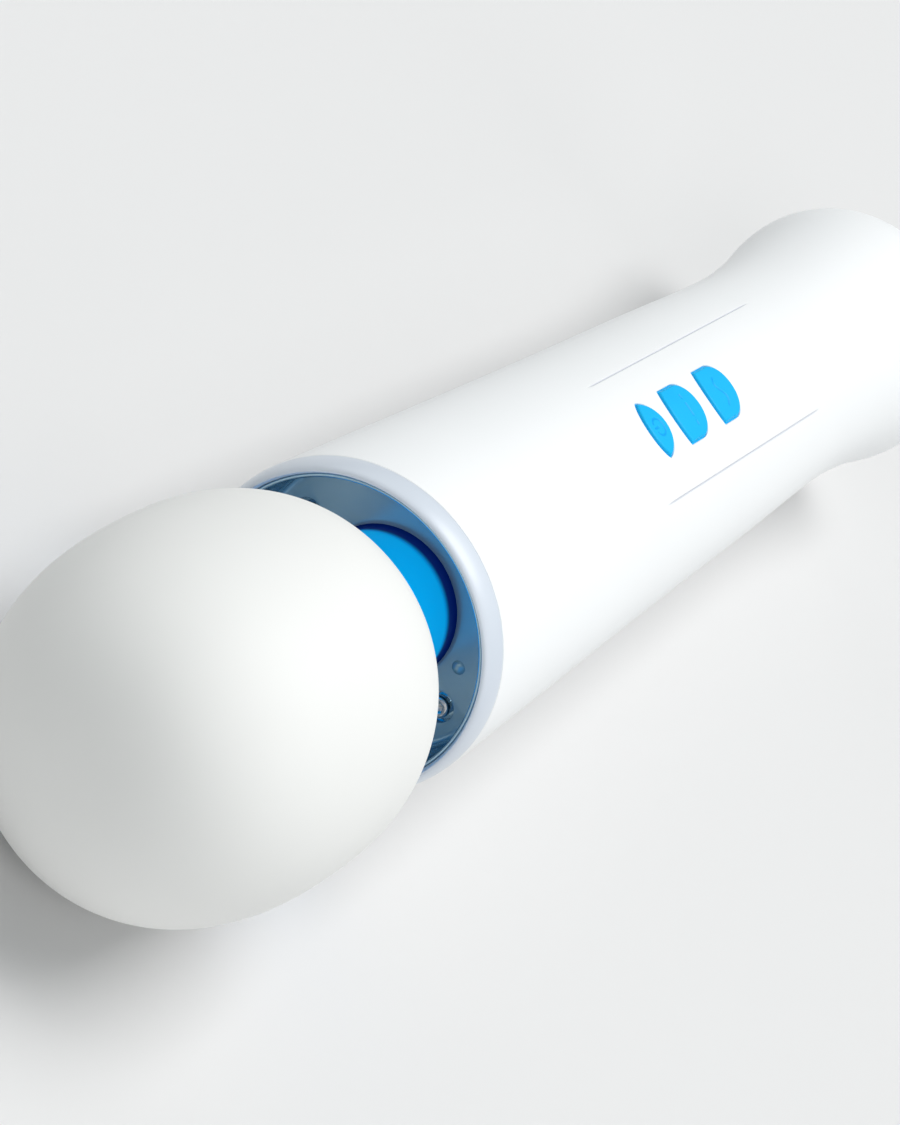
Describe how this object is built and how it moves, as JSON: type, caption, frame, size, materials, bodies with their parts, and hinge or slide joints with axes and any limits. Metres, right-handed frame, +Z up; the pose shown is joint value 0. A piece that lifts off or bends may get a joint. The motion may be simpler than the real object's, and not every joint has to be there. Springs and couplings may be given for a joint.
{
  "type": "handheld wand massager",
  "caption": "Handheld wand massager: round silicone head on a flexible neck, chromed collar dish, waisted handle with press keys and a flared foot.",
  "frame": {"origin": "centre of the bounding box on the surface it lies on", "axes": "+X along the wand towards the head, +Z up through the keys, +Y to the side"},
  "size_m": [0.3132, 0.0644, 0.0645],
  "materials": {
    "black_plastic": "moulded",
    "circuit_green": "solder mask",
    "sintered_bronze": "oiled bronze",
    "motor_steel": "plated steel",
    "tail_cap_plastic": "moulded",
    "carbon": "pressed carbon",
    "cell_wrap": "shrink wrap",
    "chromed_dish": "mirror chrome",
    "satin_ring": "satin pearl",
    "copper": "drawn",
    "core_plastic": "moulded",
    "gold_plate": "gold plated",
    "soft_white_skin": "matt soft-touch silicone",
    "head_silicone": "matt silicone",
    "blue_key": "satin silicone",
    "clear_lens": "clear",
    "ferrite": "sintered",
    "grey_rubber": "moulded rubber",
    "blue_silicone": "satin silicone",
    "nickel": "nickel strip",
    "polished_screw": "polished",
    "screw_steel": "zinc plated",
    "black_seal": "nitrile",
    "ground_steel": "ground",
    "white_housing": "moulded",
    "spring_steel": "spring wire",
    "wire_jacket": "insulated"
  },
  "bodies": {
    "handle": {"handle_sleeve": "soft_white_skin", "upper_shell": "white_housing", "lower_shell": "white_housing", "shell_screws": "screw_steel", "collar_ring": "satin_ring", "collar_plate": "chromed_dish", "plate_screws": "polished_screw", "neck_flange": "black_plastic", "collar_seal": "black_seal", "motor_can": "motor_steel", "motor_end_bell": "black_plastic", "motor_terminals": "copper", "field_magnets": "ferrite", "motor_brushes": "carbon", "motor_front_mount": "grey_rubber", "motor_rear_mount": "grey_rubber", "circuit_board": "circuit_green", "board_screws": "screw_steel", "key_switches": "black_plastic", "controller_chip": "black_plastic", "status_light": "clear_lens", "battery_cells": "cell_wrap", "battery_cradle": "black_plastic", "battery_strips": "nickel", "battery_leads": "wire_jacket", "motor_leads": "wire_jacket", "charge_leads": "wire_jacket", "tail_cap": "tail_cap_plastic", "tail_screws": "screw_steel", "tail_seal": "black_seal", "charge_socket": "black_plastic", "charge_contacts": "gold_plate", "charge_magnets": "ferrite"},
    "rotor": {"motor_shaft": "ground_steel", "armature": "motor_steel", "commutator": "copper", "motor_hub": "black_plastic", "drive_coupling": "grey_rubber"},
    "neck": {"neck_sleeve": "blue_silicone", "neck_hoops": "spring_steel"},
    "head": {"head_cover": "head_silicone", "head_core_upper": "core_plastic", "head_core_lower": "core_plastic", "core_screws": "screw_steel", "rear_bush": "sintered_bronze", "front_bush": "sintered_bronze"},
    "head_shaft": {"head_hub": "black_plastic", "eccentric_shaft": "ground_steel", "eccentric_weight": "ground_steel", "weight_screw": "screw_steel"},
    "power_key": {"power_key": "blue_key", "power_plunger": "black_plastic"},
    "speed_key": {"speed_key": "blue_key", "speed_plunger": "black_plastic"},
    "pattern_key": {"pattern_key": "blue_key", "pattern_plunger": "black_plastic"}
  },
  "joints": [
    {"name": "neck_pitch", "type": "hinge", "parent": "handle", "child": "neck", "pos_m": [0.0718, 0, 0.03157], "axis": [0, 1, 0], "range_deg": [-8, 8], "stiffness_Nm_per_rad": 12, "deforming": ["neck_sleeve", "neck_hoops", "drive_coupling"]},
    {"name": "neck_yaw", "type": "hinge", "parent": "neck", "child": "head", "pos_m": [0.0718, 0, 0.03157], "axis": [-0.0148, 0, 0.9999], "range_deg": [-8, 8], "stiffness_Nm_per_rad": 12},
    {"name": "head_spin", "type": "hinge", "parent": "head", "child": "head_shaft", "pos_m": [0.11855, 0, 0.03226], "axis": [0.9999, 0, 0.0148], "continuous": true},
    {"name": "motor_spin", "type": "hinge", "parent": "handle", "child": "rotor", "pos_m": [0.02856, 0, 0.03093], "axis": [0.9999, 0, 0.0148], "continuous": true},
    {"name": "power_press", "type": "slide", "parent": "handle", "child": "power_key", "axis": [0.0148, 0, -0.9999], "range_m": [0, 0.0005], "stiffness_N_per_m": 600, "springref_m": -0.002},
    {"name": "speed_press", "type": "slide", "parent": "handle", "child": "speed_key", "axis": [0.0148, 0, -0.9999], "range_m": [0, 0.0005], "stiffness_N_per_m": 600, "springref_m": -0.002},
    {"name": "pattern_press", "type": "slide", "parent": "handle", "child": "pattern_key", "axis": [0.0148, 0, -0.9999], "range_m": [0, 0.0005], "stiffness_N_per_m": 600, "springref_m": -0.002}
  ],
  "couplings": [
    {"joint": "motor_spin", "follows": "head_spin", "ratio": 1}
  ]
}
